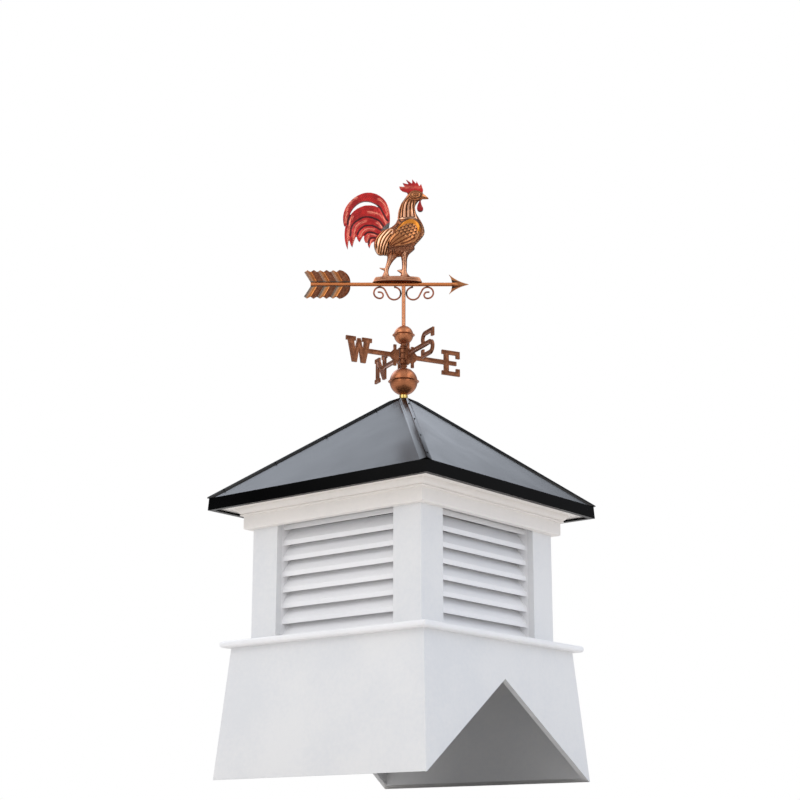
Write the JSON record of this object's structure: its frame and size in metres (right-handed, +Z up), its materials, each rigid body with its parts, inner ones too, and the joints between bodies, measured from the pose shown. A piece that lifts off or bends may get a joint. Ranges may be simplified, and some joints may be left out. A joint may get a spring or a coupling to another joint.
{
  "type": "barn cupola",
  "caption": "Square barn cupola with a battered base cut over a ridge, louvred sides, a metal pyramid roof with hip caps and a turning rooster weathervane.",
  "frame": {"origin": "centre of the base in plan, level with its lowest edge", "axes": "+Z up; X runs along the barn's ridge, so the base is notched in the two X faces; -Y is the front"},
  "size_m": [0.7652, 0.7652, 1.7179],
  "materials": {
    "white_vinyl": "smooth satin white cellular vinyl",
    "black_roof": "semi-gloss black painted aluminium sheet",
    "framing": "plain sawn softwood",
    "steel_rod": "plain drawn rod",
    "brass": "bright turned brass",
    "globe_copper": "spun copper, lightly aged",
    "letter_copper": "cast, antique copper",
    "vane_copper": "burnished copper tube and bar",
    "rooster_copper": "antique copper with dark recesses",
    "red_enamel": "translucent red enamel over relief"
  },
  "bodies": {
    "cupola": {"base_front_wall": "white_vinyl", "base_right_wall": "white_vinyl", "base_back_wall": "white_vinyl", "base_left_wall": "white_vinyl", "sill": "white_vinyl", "front_right_post": "white_vinyl", "back_right_post": "white_vinyl", "back_left_post": "white_vinyl", "front_left_post": "white_vinyl", "front_louvre": "white_vinyl", "right_louvre": "white_vinyl", "back_louvre": "white_vinyl", "left_louvre": "white_vinyl", "frieze": "white_vinyl", "bed_moulding": "white_vinyl", "soffit": "white_vinyl", "front_roof_panel": "black_roof", "right_roof_panel": "black_roof", "back_roof_panel": "black_roof", "left_roof_panel": "black_roof", "front_right_hip_cap": "black_roof", "back_right_hip_cap": "black_roof", "back_left_hip_cap": "black_roof", "front_left_hip_cap": "black_roof", "peak_block": "framing", "rod": "steel_rod", "brass_collar": "brass", "lower_globe": "globe_copper", "compass_hub": "letter_copper", "upper_globe": "globe_copper", "north_arm": "letter_copper", "east_arm": "letter_copper", "south_arm": "letter_copper", "west_arm": "letter_copper"},
    "vane": {"spindle_tube": "vane_copper", "arrow_shaft": "vane_copper", "arrow_head": "rooster_copper", "arrow_feathers": "rooster_copper", "nose_scroll": "vane_copper", "tail_scroll": "vane_copper", "rooster_mound": "rooster_copper", "rooster_body": "rooster_copper", "rooster_tail": "red_enamel", "rooster_comb": "red_enamel", "rooster_wattle": "red_enamel"}
  },
  "joints": [
    {"name": "vane_spin", "type": "hinge", "parent": "cupola", "child": "vane", "pos_m": [0, 0, 1.3], "axis": [0, 0, 1], "continuous": true}
  ]
}
